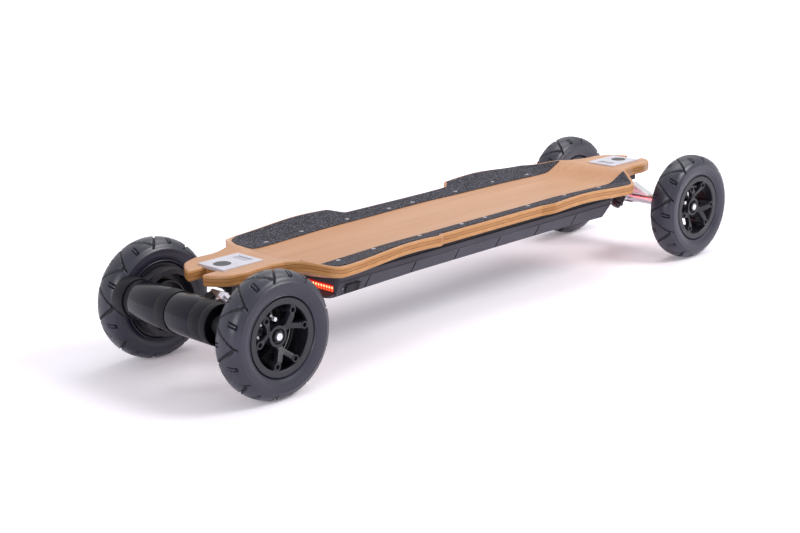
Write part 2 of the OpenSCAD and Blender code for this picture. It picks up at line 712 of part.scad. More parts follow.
module link_bushings() {
    on_pin(link_pin) {
        bushing(lower_washer, hang_low - seat_gap);
        bushing(2 + seat_gap, link_ring[0] - link_rise - seat_gap);
    }
}

// HANGERS
rim_half = rim_w / 2;
bearing_out = 6.5;
bearing_in = -6;
hub_low = bearing_in - bearing_w - 1;
axle_step = half_track + hub_low - 3;
hanger_web_z = 25;
module hanger() {
    difference() {
        union() {
            on_pin(link_pin) translate([0, 0, hang_low]) cylinder(r = 13, h = ring_h);
            translate([axle_x, 0, tyre_r]) {
                bar_y(arm_r, -axle_step + 28, axle_step - 28);
                bar_y(axle_r + 2, -axle_step, axle_step);
                bar_y(axle_r, -half_track - 12.6, half_track + 12.6);
                // the web that spreads the load from the middle to the arms
                rotate([0, 0, 90]) extrude_y(-9, 7) polygon([
                    [-66, 4], [-52, arm_r - 2], [-14, hanger_web_z], [14, hanger_web_z],
                    [52, arm_r - 2], [66, 4], [16, -arm_r], [-16, -arm_r]]);
            }
        }
        on_pin(link_pin) translate([0, 0, -40]) cylinder(r = pin_bore, h = 100);
        on_pin(link_pin) translate([0, 0, 2]) cylinder(r = 14.5, h = 60);
        on_pin(link_pin) translate([0, 0, -60 + hang_low]) cylinder(r = 14, h = 60);
    }
}
module axle_nuts() {
    translate([axle_x, 0, tyre_r]) both_sides() {
        translate([0, half_track + bearing_out + seat_gap, 0]) rotate([-90, 0, 0])
            hex_z(axle_r + run_gap, 0, 5.5, 15);
        translate([0, axle_step + seat_gap, 0]) rotate([-90, 0, 0])
            ring_z(axle_r + 1.8, axle_r + run_gap, 0, half_track + bearing_in - bearing_w - axle_step - 2 * seat_gap);
    }
}
module front_pivot_link() { color(satin) pivot_link(); }
module front_link_kingpin() { color(steel) link_kingpin(); }
module front_link_bushings() { color(rubber) link_bushings(); }
module front_hanger() { color(satin) hanger(); }
module front_axle_nuts() { color(black) axle_nuts(); }
module rear_pivot_link() { color(satin) mirror([1, 0, 0]) pivot_link(); }
module rear_link_kingpin() { color(steel) mirror([1, 0, 0]) link_kingpin(); }
module rear_link_bushings() { color(rubber) mirror([1, 0, 0]) link_bushings(); }
module rear_hanger() { color(satin) mirror([1, 0, 0]) hanger(); }
module rear_axle_nuts() { color(black) mirror([1, 0, 0]) axle_nuts(); }

// WHEELS
// A wheel is drawn about the Y axis with its outer side towards +Y
tyre_mid = rim_r + 17;
bead_r = rim_r - 4.3;
flange_t = 2;
tyre_half = [[bead_r + 0.3, 9.5], [bead_r + 0.3, rim_half - flange_t - 0.3],
    [rim_r + 0.4, rim_half - flange_t - 0.3], [rim_r + 0.6, rim_half - 0.4],
    [rim_r + 4, tyre_w / 2 - 2.6], [tyre_mid - 7, tyre_w / 2 - 0.6], [tyre_mid, tyre_w / 2],
    [tyre_mid + 6, tyre_w / 2 - 0.8], [tyre_r - 7.5, tyre_w / 2 - 3.2], [tyre_r - 3.6, tyre_w / 2 - 7],
    [tyre_r - 1.2, tyre_w / 2 - 13], [tyre_r, 0]];
tyre_inside = [[tyre_r - 7, 0], [tyre_r - 7.8, 8], [tyre_r - 11, 14], [tyre_mid, tyre_w / 2 - 4.5],
    [rim_r + 7, tyre_w / 2 - 6], [bead_r + 5, 10]];
function other_side(pts) = [for (i = [len(pts) - 1:-1:0]) [pts[i].x, -pts[i].y]];
module tyre() {
    rotate([-90, 0, 0]) rotate_extrude() polygon(concat(tyre_half, other_side(tyre_half),
        [[bead_r + 5, -10], [rim_r + 7, -tyre_w / 2 + 6], [tyre_mid, -tyre_w / 2 + 4.5],
        [tyre_r - 11, -14], [tyre_r - 7.8, -8]], tyre_inside));
}
tube_half_h = (tyre_r - 8 - bead_r) / 2;
tube_half_w = tyre_w / 2 - 9.6;
valve_r = 2.9;
valve_reach = 24;
function oval(a, b, c, n) = [for (i = [0:n - 1]) [c + a * cos(i * 360 / n), b * sin(i * 360 / n)]];
module tube() {
    mid = bead_r + 0.5 + tube_half_h;
    rotate([0, -60, 0]) difference() {
        union() {
            rotate([-90, 0, 0]) rotate_extrude() difference() {
                polygon(oval(tube_half_h - 0.5, tube_half_w, mid, 28));
                polygon(oval(tube_half_h - 2.3, tube_half_w - 1.8, mid, 28));
            }
            translate([valve_reach, 0, 0]) rotate([0, 90, 0]) cylinder(r = valve_r, h = bead_r + 2 - valve_reach);
            translate([valve_reach, -valve_r, 0]) rotate([-90, 0, 0]) cylinder(r = valve_r, h = 12);
        }
        translate([valve_reach, 5, 0]) rotate([-90, 0, 0]) ring_z(20, valve_r - 0.7, 0, 2);
    }
}
// Outline of the three Y spokes, seen along the axle
stem_w = 9;
branch_w = 7.5;
rim_boss_r = 5.2;
module y_spokes() {
    for (k = [0:2]) rotate(120 * k) {
        translate([0, -stem_w / 2]) square([24, stem_w]);
        for (s = [-1, 1]) {
            tip = rim_screw_circle * [cos(spoke_spread), s * sin(spoke_spread)];
            reach = norm(tip - [19, 0]);
            translate([19, 0]) rotate(atan2(tip.y, tip.x - 19)) translate([0, -branch_w / 2])
                square([reach + 12, branch_w]);
            translate(tip) circle(r = rim_boss_r - 1);
        }
    }
    circle(r = hub_r - 1);
}
boss_top = rim_half + 0.3;
module at_rim_screws() {
    for (k = [0:2]) for (s = [-1, 1]) rotate([0, -(120 * k + s * spoke_spread), 0])
        translate([rim_screw_circle, 0, 0]) rotate([-90, 0, 0]) children();
}
module rim_ring() {
    rotate([-90, 0, 0]) rotate_extrude() polygon([[bead_r - 2.5, seat_gap], [bead_r, seat_gap],
        [bead_r, rim_half - flange_t], [rim_r, rim_half - flange_t], [rim_r, rim_half],
        [rim_r - 8, rim_half], [rim_r - 9, rim_half - 1.2], [rim_r - 9, rim_half - 4], [bead_r - 2.5, rim_half - 6]]);
}
hub_top = rim_half - 9.2;
module rim_outer() {
    difference() {
        union() {
            rim_ring();
            bar_y(hub_r, seat_gap, hub_top);
            intersection() {
                extrude_y(0, boss_top) y_spokes();
                rotate([-90, 0, 0]) rotate_extrude() polygon([[9, 1], [9, hub_top], [hub_r + 1, hub_top],
                    [rim_screw_circle - 7, rim_half - 0.5], [rim_r - 5, rim_half - 0.5],
                    [rim_r - 5, rim_half - 7], [rim_screw_circle - 6, rim_half - 8], [hub_r + 3, 3], [hub_r, 1]]);
            }
            at_rim_screws() translate([0, 0, seat_gap]) cylinder(r = rim_boss_r, h = boss_top - seat_gap);
        }
        bar_y(hub_r - 7, -1, 40);
        bar_y(bearing_r + seat_gap / 2, bearing_out - bearing_w - seat_gap, 40);
        at_rim_screws() translate([0, 0, -1]) cylinder(r = 2.2, h = 40);
        at_rim_screws() translate([0, 0, 12]) cylinder(r = 3.4, h = 40);
        rotate([0, -60, 0]) translate([30, 0, 0]) rotate([0, 90, 0]) cylinder(r = valve_r + 0.4, h = 40);
    }
}
module rim_inner() {
    mirror([0, 1, 0]) difference() {
        union() {
            rim_ring();
            bar_y(hub_r, seat_gap, -hub_low);
            intersection() {
                extrude_y(0, rim_half) y_spokes();
                rotate([-90, 0, 0]) rotate_extrude() polygon([[hub_r - 1, 2], [hub_r - 1, 12.5],
                    [hub_r + 3, 12.5], [rim_screw_circle - 6, rim_half - 0.5], [rim_r - 5, rim_half - 0.5],
                    [rim_r - 5, rim_half - 7], [rim_screw_circle - 6, rim_half - 8], [hub_r + 4, 4]]);
            }
            at_rim_screws() translate([0, 0, seat_gap]) cylinder(r = rim_boss_r, h = rim_half - seat_gap);
        }
        bar_y(hub_r - 7, -1, 40);
        bar_y(bearing_r + seat_gap / 2, -bearing_in - seat_gap, 40);
        at_rim_screws() translate([0, 0, -1]) cylinder(r = 1.7, h = 60);
        rotate([0, -60, 0]) translate([30, 0, 0]) rotate([0, 90, 0]) cylinder(r = valve_r + 0.4, h = 40);
    }
}
// Two sealed bearings, the spacer between them and the six rim screws
module bearing() {
    rotate([-90, 0, 0]) rotate_extrude() polygon([[axle_r + run_gap, 0], [axle_r + 1.6, 0],
        [axle_r + 1.6, 0.4], [bearing_r - 1.6, 0.4], [bearing_r - 1.6, 0], [bearing_r, 0],
        [bearing_r, bearing_w], [bearing_r - 1.6, bearing_w], [bearing_r - 1.6, bearing_w - 0.4],
        [axle_r + 1.6, bearing_w - 0.4], [axle_r + 1.6, bearing_w], [axle_r + run_gap, bearing_w]]);
}
module hardware(tail) {
    translate([0, bearing_out - bearing_w, 0]) bearing();
    translate([0, bearing_in - bearing_w, 0]) bearing();
    ring_y(axle_r + 1.5, axle_r + run_gap, bearing_in + seat_gap, bearing_out - bearing_w - seat_gap);
    at_rim_screws() difference() {
        union() {
            translate([0, 0, 12.1]) cylinder(r = 3.1, h = 3.2);
            translate([0, 0, -tail]) cylinder(r = 1.6, h = tail + 13);
        }
        translate([0, 0, 13.6]) cylinder(r = 1.5, h = 4, $fn = 6);
    }
}
// Puts a wheel piece in place: end 1 is the front, side 1 is the left, and turn is
// the angle of its first spoke above the +X direction
module wheel(end, side, turn) {
    translate([end * axle_x, side * half_track, tyre_r]) rotate([0, -turn, 0])
        if (side > 0) children(); else mirror([0, 1, 0]) children();
}
fl_turn = 20;
fr_turn = 93.7;
rl_turn = 75;
rr_turn = 36.9;
front_tail = rim_half - 0.5;
rear_tail = rim_half + 4.6;
module fl_tyre() { color(rubber) wheel(1, 1, fl_turn) tyre(); }
module fl_tube() { color(black) wheel(1, 1, fl_turn) tube(); }
module fl_rim_outer() { color(black) wheel(1, 1, fl_turn) rim_outer(); }
module fl_rim_inner() { color(black) wheel(1, 1, fl_turn) rim_inner(); }
module fl_hardware() { color(steel) wheel(1, 1, fl_turn) hardware(front_tail); }
module fr_tyre() { color(rubber) wheel(1, -1, fr_turn) tyre(); }
module fr_tube() { color(black) wheel(1, -1, fr_turn) tube(); }
module fr_rim_outer() { color(black) wheel(1, -1, fr_turn) rim_outer(); }
module fr_rim_inner() { color(black) wheel(1, -1, fr_turn) rim_inner(); }
module fr_hardware() { color(steel) wheel(1, -1, fr_turn) hardware(front_tail); }
module rl_tyre() { color(rubber) wheel(-1, 1, rl_turn) tyre(); }
module rl_tube() { color(black) wheel(-1, 1, rl_turn) tube(); }
module rl_rim_outer() { color(black) wheel(-1, 1, rl_turn) rim_outer(); }
module rl_rim_inner() { color(black) wheel(-1, 1, rl_turn) rim_inner(); }
module rl_hardware() { color(steel) wheel(-1, 1, rl_turn) hardware(rear_tail); }
module rr_tyre() { color(rubber) wheel(-1, -1, rr_turn) tyre(); }
module rr_tube() { color(black) wheel(-1, -1, rr_turn) tube(); }
module rr_rim_outer() { color(black) wheel(-1, -1, rr_turn) rim_outer(); }
module rr_rim_inner() { color(black) wheel(-1, -1, rr_turn) rim_inner(); }
module rr_hardware() { color(steel) wheel(-1, -1, rr_turn) hardware(rear_tail); }

// DRIVE
motor_x = -axle_x - motor_back;
motor_z = tyre_r + motor_up;
centre_gap = norm([motor_back, motor_up]);
belt_lean = atan2(motor_up, -motor_back);
wheel_pitch_r = wheel_teeth * belt_pitch / (2 * PI);
motor_pitch_r = motor_teeth * belt_pitch / (2 * PI);
tooth_h = 1.9;
// Outline of a toothed belt gear: flat-topped teeth between straight-sided gaps
function tooth_ring(teeth, r) = [for (i = [0:4 * teeth - 1])
    let (k = i % 4, a = (floor(i / 4) + [0, 0.12, 0.5, 0.62][k]) * 360 / teeth,
        q = k == 1 || k == 2 ? r : r - tooth_h) q * [cos(a), sin(a)]];
belt_low = belt_y - belt_w / 2;
belt_high = belt_y + belt_w / 2;
gear_flange = 1.2;
module at_motor() { translate([motor_x, 0, motor_z]) children(); }
module at_rear_axle() { translate([-axle_x, 0, tyre_r]) children(); }

module wheel_gear() {
    tip = wheel_pitch_r - 0.57;
    low = belt_low - 1;
    high = belt_high + 1;
    face = half_track - rim_half - seat_gap;
    difference() {
        union() {
            extrude_y(low, high) polygon(tooth_ring(wheel_teeth, tip));
            bar_y(tip + 2, low - gear_flange, low);
            bar_y(tip + 2, high, high + gear_flange);
            bar_y(tip - 3.2, low, face);
        }
        bar_y(tip - 6, 0, face - 4);
        bar_y(axle_r + 8, 0, 400);
        translate([0, half_track, 0]) rotate([0, -rl_turn, 0]) at_rim_screws()
            translate([0, 0, -60]) cylinder(r = 1.7, h = 100);
    }
    // inner stiffening ring of the gear's web
    ring_y(31, 28.5, face - 16, face - 3.9);
}
module left_wheel_gear() { color(black) at_rear_axle() wheel_gear(); }
module right_wheel_gear() {
    color(black) at_rear_axle() rotate([0, rl_turn - rr_turn, 0]) mirror([0, 1, 0]) wheel_gear();
}

// Outline round two circles: one of radius ra at the origin, one of radius rb at
// distance c along +X
function wrap(ra, rb, c) = let (b = asin((ra - rb) / c), n = 40)
    concat([for (i = [0:n]) let (a = 90 - b + (180 + 2 * b) * i / n) ra * [cos(a), sin(a)]],
        [for (i = [0:n / 2]) let (a = 270 + b + (180 - 2 * b) * i / (n / 2)) [c, 0] + rb * [cos(a), sin(a)]]);
belt_in_wheel = wheel_pitch_r - 0.57 + free_gap;
belt_in_motor = motor_pitch_r - 0.57 + free_gap;
module drive_belts() {
    color(black) both_sides() at_rear_axle() rotate([0, -belt_lean, 0]) extrude_y(belt_low, belt_high)
        difference() {
            polygon(wrap(belt_in_wheel + belt_t, belt_in_motor + belt_t, centre_gap));
            polygon(wrap(belt_in_wheel, belt_in_motor, centre_gap));
        }
}

can_wall = 2.5;
shaft_r = 4;
left_end = clamp_half + 0.2 + left_can;
right_end = clamp_half + 0.2 + right_can;
mount_low = 74;
mount_high = 84;
// A motor can: a closed tube with a shaft hole, whose outer end is stepped down
// to sit in its mount
module motor_can(outer_end, stop) {
    difference() {
        union() {
            bar_y(motor_r, 1, outer_end);
            bar_y(motor_r - 3, outer_end - 1, stop);
        }
        bar_y(motor_r - can_wall, 3.5, outer_end - 4);
        bar_y(motor_r - can_wall - 3, outer_end - 5, stop - 3);
        bar_y(shaft_r + run_gap, 0, 200);
    }
}
module left_motor_can() { color(black) at_motor() motor_can(left_end, mount_low - seat_gap); }
module right_motor_can() {
    color(black) at_motor() mirror([0, 1, 0]) motor_can(right_end, mount_low - seat_gap);
}
module motor_clamp() {
    color(black) at_motor() ring_y(motor_r + 0.8, motor_r + run_gap, -clamp_half, clamp_half);
}
mount_r = 26.5;
module mount_plate() {
    difference() {
        at_rear_axle() rotate([0, -belt_lean, 0]) extrude_y(mount_low, mount_high)
            polygon(wrap(arm_r + 5, mount_r, centre_gap));
        at_rear_axle() bar_y(arm_r + run_gap, 0, 200);
        at_motor() bar_y(shaft_r + run_gap, 0, 200);
    }
}
sleeve_end = 97;
module motor_mounts() {
    color(black) {
        mount_plate();
        mirror([0, 1, 0]) difference() {
            union() {
                mount_plate();
                at_motor() ring_y(motor_r, motor_r - 2.9, right_end + seat_gap, mount_high);
            }
            at_motor() bar_y(shaft_r + run_gap, 0, 200);
        }
    }
}
// Drum-shaped covers over the pinions, cut away where the belts run to the wheels
cover_end = 106.5;
module belt_cover(low, high, closed) {
    difference() {
        at_motor() difference() {
            bar_y(motor_r, low, high);
            bar_y(motor_r - 2.5, low + 2.5, closed ? high - 2 : high + 1);
            bar_y(shaft_r + 8, 0, low + 3);
        }
        at_rear_axle() rotate([0, -belt_lean, 0]) extrude_y(belt_low - 2.2, 140)
            polygon(wrap(wheel_pitch_r + 4, motor_pitch_r + 3.5, centre_gap));
        at_rear_axle() bar_y(wheel_pitch_r + 4, 60, 140);
    }
}
module belt_covers() {
    color(black) {
        belt_cover(mount_high + seat_gap, cover_end, true);
        mirror([0, 1, 0]) belt_cover(mount_high + seat_gap, sleeve_end, false);
    }
}
module rotor(outer_end) {
    bar_y(motor_r - can_wall - 1, 8, outer_end - 9);
    bar_y(shaft_r, 1.2, belt_high + 1);
    extrude_y(belt_low - 1, belt_high + 1) difference() {
        polygon(tooth_ring(motor_teeth, motor_pitch_r - 0.57));
        circle(r = shaft_r - 0.5);
    }
}
module left_rotor() { color(steel) at_motor() rotor(left_end); }
module right_rotor() { color(steel) at_motor() mirror([0, 1, 0]) rotor(right_end); }

deck();
grip_tape();
top_plates();
plate_badges();
case_shell();
case_gasket();
battery_cells();
motor_controller();
charge_port();
front_light();
rear_light();
deck_screws();
truck_bolts();
riser_pads();
truck_bases();
base_kingpins();
base_bushings();
cable_glands();
power_button();
port_cap();
front_pivot_link();
front_link_kingpin();
front_link_bushings();
front_hanger();
front_axle_nuts();
rear_pivot_link();
rear_link_kingpin();
rear_link_bushings();
rear_hanger();
rear_axle_nuts();
left_motor_can();
right_motor_can();
motor_clamp();
motor_mounts();
drive_belts();
belt_covers();
left_rotor();
right_rotor();
left_wheel_gear();
right_wheel_gear();
fl_tyre();
fl_tube();
fl_rim_outer();
fl_rim_inner();
fl_hardware();
fr_tyre();
fr_tube();
fr_rim_outer();
fr_rim_inner();
fr_hardware();
rl_tyre();
rl_tube();
rl_rim_outer();
rl_rim_inner();
rl_hardware();
rr_tyre();
rr_tube();
rr_rim_outer();
rr_rim_inner();
rr_hardware();
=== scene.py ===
import math

import bmesh
import bpy
import numpy as np
from mathutils import Matrix, Vector


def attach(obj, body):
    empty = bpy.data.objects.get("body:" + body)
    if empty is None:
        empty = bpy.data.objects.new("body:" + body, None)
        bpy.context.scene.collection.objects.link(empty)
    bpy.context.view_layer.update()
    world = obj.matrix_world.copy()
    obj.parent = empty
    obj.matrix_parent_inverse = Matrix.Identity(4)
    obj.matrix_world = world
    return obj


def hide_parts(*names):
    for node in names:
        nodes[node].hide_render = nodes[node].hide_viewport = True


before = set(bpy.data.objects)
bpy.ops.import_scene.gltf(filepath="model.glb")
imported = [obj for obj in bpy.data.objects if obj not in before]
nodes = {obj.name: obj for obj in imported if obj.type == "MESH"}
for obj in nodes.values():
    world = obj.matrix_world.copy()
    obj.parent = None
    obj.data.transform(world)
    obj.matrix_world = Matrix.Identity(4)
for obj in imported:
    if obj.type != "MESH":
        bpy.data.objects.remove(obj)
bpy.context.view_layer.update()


# THE STUDIO
# A white sweep with the camera low behind the board's right rear wheel. A soft lamp
# stands high on the right, a wide one hangs overhead and a weak one fills the tail.

eye = Vector((-1.7167, -1.65049, 0.728424))
turn, dip, lean = 0.7956, -0.2744, -0.026
forward = Vector((math.cos(turn) * math.cos(dip), math.sin(turn) * math.cos(dip), math.sin(dip)))
level = Vector((math.sin(turn), -math.cos(turn), 0))
upright = level.cross(forward)
across = level * math.cos(lean) + upright * math.sin(lean)
upwards = upright * math.cos(lean) - level * math.sin(lean)

camera_data = bpy.data.cameras.new("camera")
camera_data.lens = 70.94
camera_data.clip_start = 0.05
camera = bpy.data.objects.new("camera", camera_data)
camera.matrix_world = Matrix((across, upwards, -forward)).transposed().to_4x4()
camera.matrix_world.translation = eye
bpy.context.collection.objects.link(camera)
bpy.context.scene.camera = camera
bpy.context.scene.view_settings.view_transform = "Standard"


def lamp(name, place, aim, size, power, colour=(1, 1, 1), spread=180):
    """A soft rectangular lamp, turned so that it faces its aim."""
    data = bpy.data.lights.new(name, "AREA")
    data.shape = "RECTANGLE"
    data.size, data.size_y = size
    data.energy = power
    data.color = colour
    data.spread = math.radians(spread)
    made = bpy.data.objects.new(name, data)
    made.location = place
    made.rotation_euler = (Vector(aim) - Vector(place)).to_track_quat("-Z", "Y").to_euler()
    bpy.context.collection.objects.link(made)


lamp("key_lamp", (1.1, -1.8, 2.0), (0, 0, 0.1), (1.2, 1.2), 48)
lamp("top_lamp", (0.9, 0.3, 2.3), (0, 0, 0.1), (1.8, 1.4), 22)
lamp("low_lamp", (-2.2, -0.6, 0.9), (-0.2, 0, 0.1), (1.2, 0.7), 14)

# Rays that are seen, mirrored or refracted find plain white, and the others a soft light
world = bpy.data.worlds.new("studio")
world.use_nodes = True
bpy.context.scene.world = world
sky = world.node_tree.nodes
bare = sky["Background"]
bare.inputs["Color"].default_value = (0.95, 0.95, 1.0, 1)
bare.inputs["Strength"].default_value = 0.55
seen = sky.new("ShaderNodeBackground")
seen.inputs["Color"].default_value = (1, 1, 1, 1)
path = sky.new("ShaderNodeLightPath")
either, or_glass = sky.new("ShaderNodeMath"), sky.new("ShaderNodeMath")
either.operation = or_glass.operation = "MAXIMUM"
choose = sky.new("ShaderNodeMixShader")
link = world.node_tree.links.new
link(path.outputs["Is Camera Ray"], either.inputs[0])
link(path.outputs["Is Glossy Ray"], either.inputs[1])
link(either.outputs[0], or_glass.inputs[0])
link(path.outputs["Is Transmission Ray"], or_glass.inputs[1])
link(or_glass.outputs[0], choose.inputs[0])
link(bare.outputs[0], choose.inputs[1])
link(seen.outputs[0], choose.inputs[2])
link(choose.outputs[0], sky["World Output"].inputs["Surface"])


# THE FLOOR
# A wide pale floor that runs out to white, and keeps the soft shadow of the board.
# Its finish, like all that follow, is written as sums on the values of a pattern.

def rgb(red, green, blue):
    """A colour as a screen shows it, from 0 to 255, made linear for the shader."""
    def linear(value):
        value /= 255
        return value / 12.92 if value <= 0.04045 else ((value + 0.055) / 1.055) ** 2.4
    return (linear(red), linear(green), linear(blue), 1)


class Value:
    """A node's output, on which sums can be written."""

    def __init__(self, finish, socket):
        self.finish, self.socket = finish, socket

    def sum(self, operation, *numbers):
        return self.finish.node("Math", {"operation": operation}, numbers)

    def __add__(self, other):
        return self.sum("ADD", self, other)

    def __radd__(self, other):
        return self.sum("ADD", other, self)

    def __sub__(self, other):
        return self.sum("SUBTRACT", self, other)

    def __rsub__(self, other):
        return self.sum("SUBTRACT", other, self)

    def __mul__(self, other):
        return self.sum("MULTIPLY", self, other)

    def __rmul__(self, other):
        return self.sum("MULTIPLY", other, self)

    def __truediv__(self, other):
        return self.sum("DIVIDE", self, other)

    def __mod__(self, other):
        return self.sum("FLOORED_MODULO", self, other)

    def __gt__(self, other):
        return self.sum("GREATER_THAN", self, other)

    def __lt__(self, other):
        return self.sum("LESS_THAN", self, other)

    def floor(self):
        return self.sum("FLOOR", self)

    def power(self, other):
        return self.sum("POWER", self, other)

    def distance(self, other):
        return self.sum("ABSOLUTE", self - other)


class Finish:
    """A material with its shader, and the patterns that its values come from."""

    def __init__(self, name, **constants):
        self.material = bpy.data.materials.new(name)
        self.material.use_nodes = True
        self.tree = self.material.node_tree
        self.shader = self.tree.nodes["Principled BSDF"]
        for name, value in constants.items():
            self.shader.inputs[name.replace("_", " ")].default_value = value

    def node(self, kind, settings=None, values=(), output=0):
        made = self.tree.nodes.new("ShaderNode" + kind)
        for name, value in (settings or {}).items():
            setattr(made, name, value)
        for name, value in values.items() if isinstance(values, dict) else enumerate(values):
            if isinstance(value, Value):
                self.tree.links.new(value.socket, made.inputs[name])
            else:
                made.inputs[name].default_value = value
        return Value(self, made.outputs[output])

    def place(self):
        return self.node("TexCoord", output="Object")

    def parts(self, vector):
        return [self.node("SeparateXYZ", values=(vector,), output=axis) for axis in range(3)]

    def stretch(self, vector, x, y, z):
        return self.node("VectorMath", {"operation": "MULTIPLY"}, (vector, (x, y, z)))

    def noise(self, vector, scale, detail=2.0, roughness=0.5):
        return self.node("TexNoise", values={"Vector": vector, "Scale": scale, "Detail": detail,
                                             "Roughness": roughness})

    def random(self, number):
        return self.node("TexWhiteNoise", {"noise_dimensions": "1D"}, {"W": number})

    def mix(self, amount, first, second):
        return self.node("Mix", {"data_type": "RGBA"}, {0: amount, 6: first, 7: second}, output=2)

    def ramp(self, number, low, high):
        return self.node("MapRange", values=(number, low, high, 0.0, 1.0))

    def bump(self, height, distance, strength=1.0):
        return self.node("Bump", values={"Height": height, "Distance": distance, "Strength": strength})

    def set(self, **values):
        for name, value in values.items():
            self.tree.links.new(value.socket, self.shader.inputs[name.replace("_", " ")])


floor_half, white_from, white_to = 30, 0.7, 2.6
floor_mesh = bmesh.new()
bmesh.ops.create_grid(floor_mesh, x_segments=1, y_segments=1, size=floor_half)
floor_data = bpy.data.meshes.new("floor")
floor_mesh.to_mesh(floor_data)
floor = bpy.data.objects.new("floor", floor_data)
bpy.context.collection.objects.link(floor)
pale = Finish("pale_floor", Base_Color=rgb(250, 246, 252), Roughness=0.9, Specular_IOR_Level=0.0,
              Emission_Strength=1.0)
x, y, z = pale.parts(pale.place())
seen_rays = (pale.node("LightPath", output="Is Camera Ray")
             + pale.node("LightPath", output="Is Glossy Ray")
             + pale.node("LightPath", output="Is Transmission Ray"))
away = pale.ramp((x * x + y * y).power(0.5), white_from, white_to) * seen_rays
pale.set(Emission_Color=pale.mix(away, (0.17, 0.16, 0.17, 1), (0.9, 0.9, 0.9, 1)))
floor_data.materials.append(pale.material)


# THE DECK
# Bamboo sheets are glued and pressed over a mould, which gives the deck its long
# dip, its raised foot wings and its two steps up to the trucks. The edge shows the
# glued layers, and every rim is rounded over and lacquered.

# The top's height along the middle and along the edge: distance from the centre, height
middle_line = ((0, 0.1405), (0.318, 0.137), (0.374, 0.1537), (0.487, 0.1527))
edge_line = ((0, 0.1526), (0.090, 0.1529), (0.190, 0.1563), (0.326, 0.1493),
             (0.378, 0.1677), (0.487, 0.1617))
deck_thick = 0.0165
deck_rounding = 0.0026
edge_y = 0.120
bowl = 2.15


def follow(line, x):
    """Height on a line whose points are joined by soft swings."""
    for (x0, z0), (x1, z1) in zip(line, line[1:]):
        if x <= x1:
            return z0 + (z1 - z0) * (1 - math.cos(math.pi * (x - x0) / (x1 - x0))) / 2
    return line[-1][1]


def deck_top(x, y):
    """Height of the deck's top face at a place."""
    middle, edge = follow(middle_line, abs(x)), follow(edge_line, abs(x))
    return middle + (edge - middle) * (abs(y) / edge_y) ** bowl


# Corners of half an outline in millimetres: along, across and the rounding's radius
def end_corners(half_width, wing_half, wing_x):
    return [(454, 14.5, 3), (487, 14.5, 3), (480, 31.5, 18), (467, half_width - 7.5, 20),
            (443, half_width + 0.7, 28), (408, 53, 60), (wing_x + 46, wing_half - 60.8, 12),
            (wing_x, wing_half - 1, 38)]


tail = [(-x, y, r) for x, y, r in end_corners(57, 124.5, 335)]
nose = end_corners(52, 122, 329)[::-1]
waist = [(-300, 124.5, 40), (-134, 124.5, 12), (-114, 105.5, 8), (-40, 105, 90), (60, 104.5, 90),
         (109, 105.8, 3), (126, 121, 6), (200, 122, 80), (280, 121.3, 80)]
deck_corners = tail + waist + nose
deck_corners += [(x, -y, r) for x, y, r in deck_corners[::-1]]


def cut_sheet(corners, segments=7):
    """A flat sheet whose corners are rounded as if cut by a router."""
    points = [Vector((x, y, 0)) / 1000 for x, y, r in corners]
    rim = []
    for i, (x, y, radius) in enumerate(corners):
        here = points[i]
        back, on = points[i - 1] - here, points[(i + 1) % len(points)] - here
        half = back.angle(on) / 2
        inwards = (back.normalized() + on.normalized()).normalized()
        middle = here + inwards * radius / 1000 / math.sin(half)
        start = here + back.normalized() * radius / 1000 / math.tan(half) - middle
        sweep = (math.pi - 2 * half) * (1 if back.cross(on).z < 0 else -1)
        count = max(1, min(segments, round(math.degrees(abs(sweep)) / 6)))
        rim += [middle + Matrix.Rotation(sweep * k / count, 3, "Z") @ start for k in range(count + 1)]
    sheet = bmesh.new()
    verts = [sheet.verts.new(p) for p in rim]
    sheet.faces.new(verts)
    bmesh.ops.remove_doubles(sheet, verts=sheet.verts, dist=1e-5)
    return sheet


def thicken(sheet, thickness, rounding):
    """Gives the sheet a wall, and rounds its two rims where a rounding is given."""
    made = bmesh.ops.extrude_face_region(sheet, geom=list(sheet.faces))
    moved = [v for v in made["geom"] if isinstance(v, bmesh.types.BMVert)]
    bmesh.ops.translate(sheet, verts=moved, vec=(0, 0, -thickness))
    bmesh.ops.recalc_face_normals(sheet, faces=sheet.faces)
    if rounding:
        rims = [e for e in sheet.edges if abs(e.verts[0].co.z - e.verts[1].co.z) < 1e-6]
        bmesh.ops.bevel(sheet, geom=rims, offset=rounding, affect="EDGES", segments=3,
                        profile=0.5, material=-1, clamp_overlap=False)


# Where the flat blank is cut: across its dip, its two steps and its two ends, and along it
dip_cuts = np.arange(-0.306, 0.3061, 0.018)
step_cuts = np.arange(0.309, 0.396, 0.005)
end_cuts = np.arange(0.398, 0.486, 0.009)
long_cuts = np.arange(-0.117, 0.1171, 0.009)


def press(sheet, lift):
    """Cuts the flat blank into small squares and presses it onto the mould."""
    crosswise = list(dip_cuts)
    for side in (-1, 1):
        crosswise += list(side * step_cuts) + list(side * end_cuts)
    cuts = [(Vector((x, 0, 0)), Vector((1, 0, 0))) for x in crosswise]
    cuts += [(Vector((0, y, 0)), Vector((0, 1, 0))) for y in long_cuts]
    for place, normal in cuts:
        geom = list(sheet.verts) + list(sheet.edges) + list(sheet.faces)
        bmesh.ops.bisect_plane(sheet, geom=geom, plane_co=place, plane_no=normal, dist=1e-6)
    depth = sheet.loops.layers.uv.new("layers")
    for face in sheet.faces:
        for loop in face.loops:
            loop[depth].uv = (loop.vert.co.x, -loop.vert.co.z)
    for vert in sheet.verts:
        vert.co.z += deck_top(vert.co.x, vert.co.y) + lift


